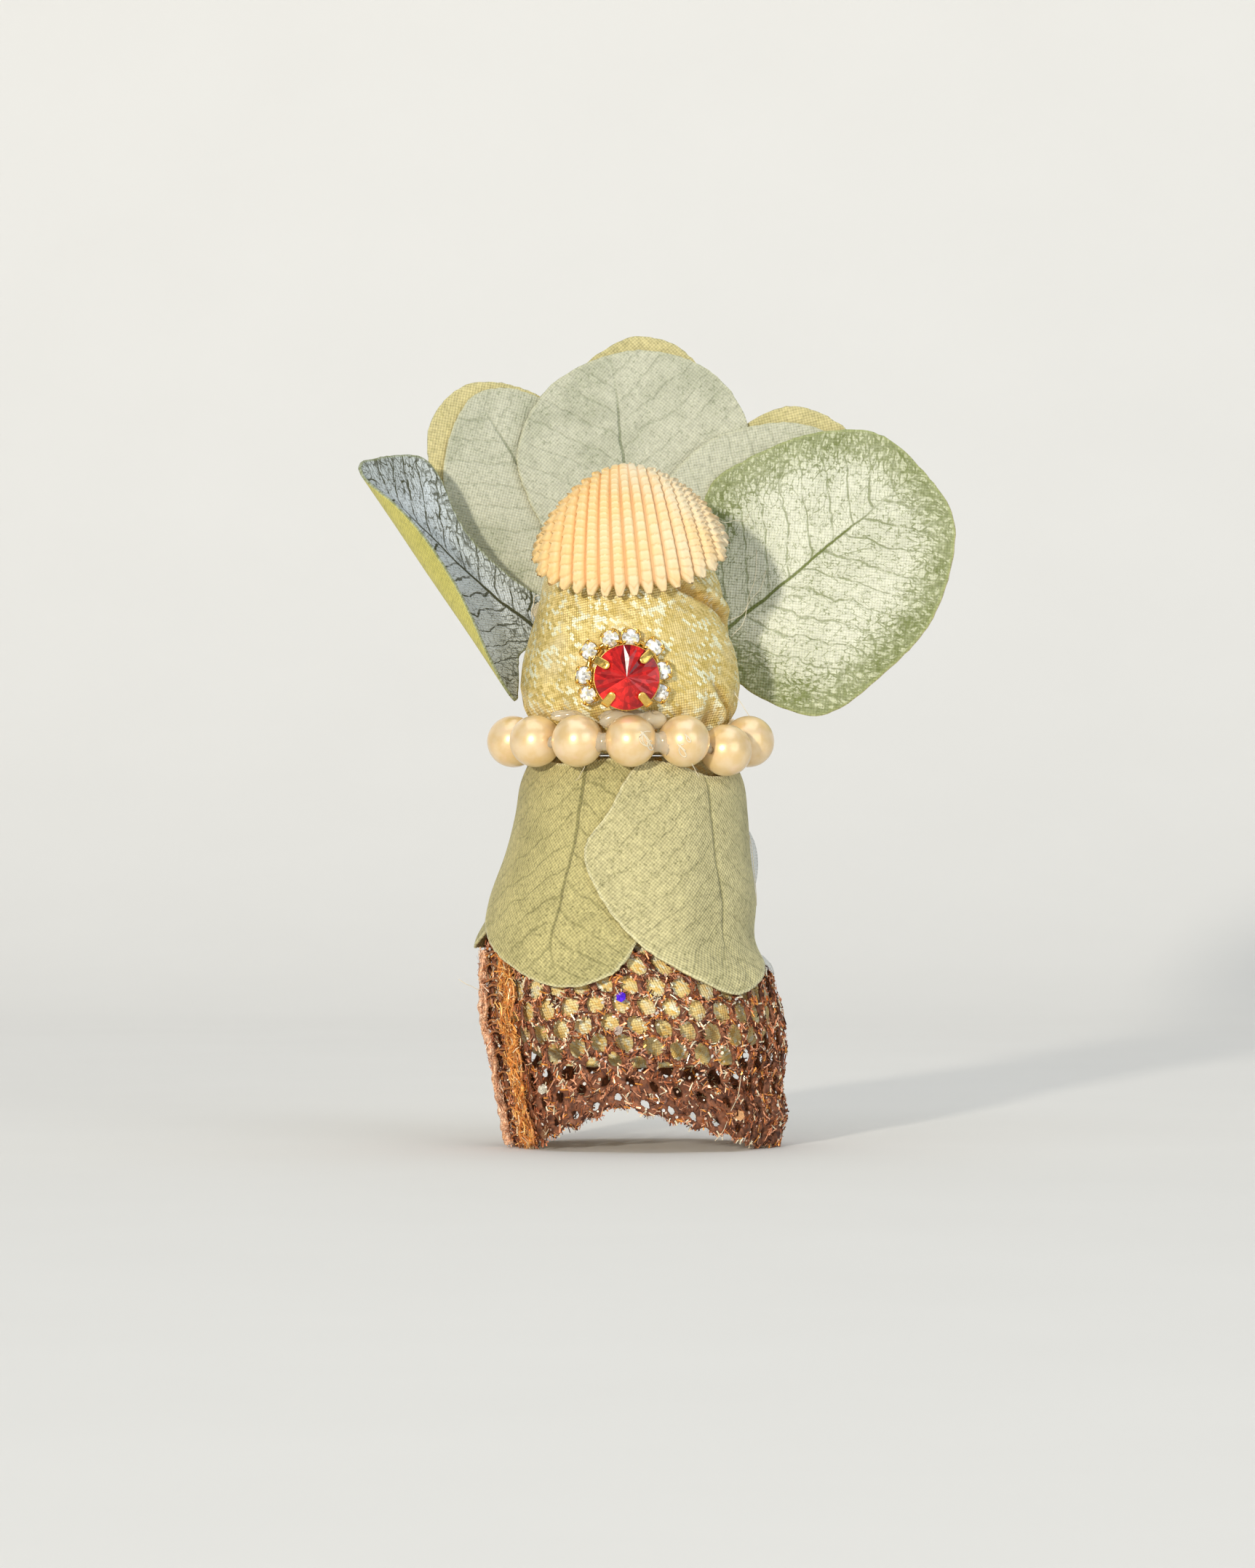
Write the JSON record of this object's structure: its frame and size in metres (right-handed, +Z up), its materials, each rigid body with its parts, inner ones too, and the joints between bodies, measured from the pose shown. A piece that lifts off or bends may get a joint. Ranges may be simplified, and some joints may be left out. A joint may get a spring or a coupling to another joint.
{
  "type": "art doll",
  "caption": "Small glued cloth doll with a stuffed gold head and body, shell hat, jewelled front, pearl collar, leaf dress, net skirt and a fan of cloth leaves.",
  "frame": {"origin": "middle of the bounding box, on the floor under the hem", "axes": "+Z up, the front of the doll faces -Y, +X to the right seen from the front"},
  "size_m": [0.0932, 0.0498, 0.1284],
  "materials": {
    "gold_lame": "metallic weave",
    "white_cloth": "matte",
    "copper_net": "glittering net",
    "rust_selvage": "rough edge",
    "dress_leaf": "woven, matte",
    "grey_leaf": "woven, matte",
    "lime_leaf": "woven, matte",
    "pearl": "pearlescent",
    "thread": "matte",
    "hot_glue": "clear, soft gloss",
    "red_glass": "faceted",
    "clear_glass": "faceted",
    "gilt": "polished",
    "shell": "chalky, ribbed"
  },
  "bodies": {
    "doll": {"body": "gold_lame", "lining": "white_cloth", "net_skirt": "copper_net", "net_selvage": "rust_selvage", "head": "gold_lame", "dress_left": "dress_leaf", "dress_right": "dress_leaf", "dress_front_left": "dress_leaf", "pearl_01": "pearl", "pearl_02": "pearl", "pearl_03": "pearl", "pearl_04": "pearl", "pearl_05": "pearl", "pearl_06": "pearl", "pearl_07": "pearl", "pearl_08": "pearl", "pearl_09": "pearl", "pearl_10": "pearl", "pearl_11": "pearl", "pearl_12": "pearl", "pearl_13": "pearl", "pearl_14": "pearl", "pearl_strand": "thread", "collar_glue": "hot_glue", "red_stone": "red_glass", "stone_setting": "gilt", "clear_stone_01": "clear_glass", "clear_stone_02": "clear_glass", "clear_stone_03": "clear_glass", "clear_stone_04": "clear_glass", "clear_stone_05": "clear_glass", "clear_stone_06": "clear_glass", "clear_stone_07": "clear_glass", "clear_stone_08": "clear_glass", "cup_chain": "gilt", "shell_hat": "shell", "shell_glue": "hot_glue", "fan_left_glue": "hot_glue", "fan_right_mid": "grey_leaf", "fan_centre": "grey_leaf", "fan_left_mid": "grey_leaf", "fan_right_back": "lime_leaf", "fan_left_back": "lime_leaf", "fan_glue": "hot_glue"},
    "fan_right_body": {"fan_right": "grey_leaf"},
    "fan_left_body": {"fan_left": "grey_leaf"},
    "fan_centre_back_body": {"fan_centre_back": "lime_leaf"},
    "dress_front_right_body": {"dress_front_right": "dress_leaf"},
    "dress_back_body": {"dress_back": "dress_leaf"}
  },
  "joints": [
    {"name": "fan_right_flex", "type": "hinge", "parent": "doll", "child": "fan_right_body", "pos_m": [0.00481, 0.01469, 0.0836], "axis": [0.5408, 0, -0.8412], "range_deg": [0, 15], "stiffness_Nm_per_rad": 0.002, "springref_deg": -2.86},
    {"name": "fan_left_flex", "type": "hinge", "parent": "doll", "child": "fan_left_body", "pos_m": [-0.01629, 0.00974, 0.0836], "axis": [0.5591, 0, -0.8291], "range_deg": [0, 15], "stiffness_Nm_per_rad": 0.002, "springref_deg": -2.86},
    {"name": "fan_centre_back_flex", "type": "hinge", "parent": "doll", "child": "fan_centre_back_body", "pos_m": [-0.00449, 0.0192, 0.0824], "axis": [-1, 0, 0], "range_deg": [0, 20], "stiffness_Nm_per_rad": 0.002, "springref_deg": -2.86},
    {"name": "dress_front_right_flex", "type": "hinge", "parent": "doll", "child": "dress_front_right_body", "pos_m": [0.00469, -0.01498, 0.0596], "axis": [-0.8387, -0.5446, 0], "range_deg": [0, 9], "stiffness_Nm_per_rad": 0.002, "springref_deg": -2.86},
    {"name": "dress_back_flex", "type": "hinge", "parent": "doll", "child": "dress_back_body", "pos_m": [-0.00429, 0.01293, 0.0596], "axis": [1, 0, 0], "range_deg": [0, 9], "stiffness_Nm_per_rad": 0.002, "springref_deg": -2.86}
  ]
}
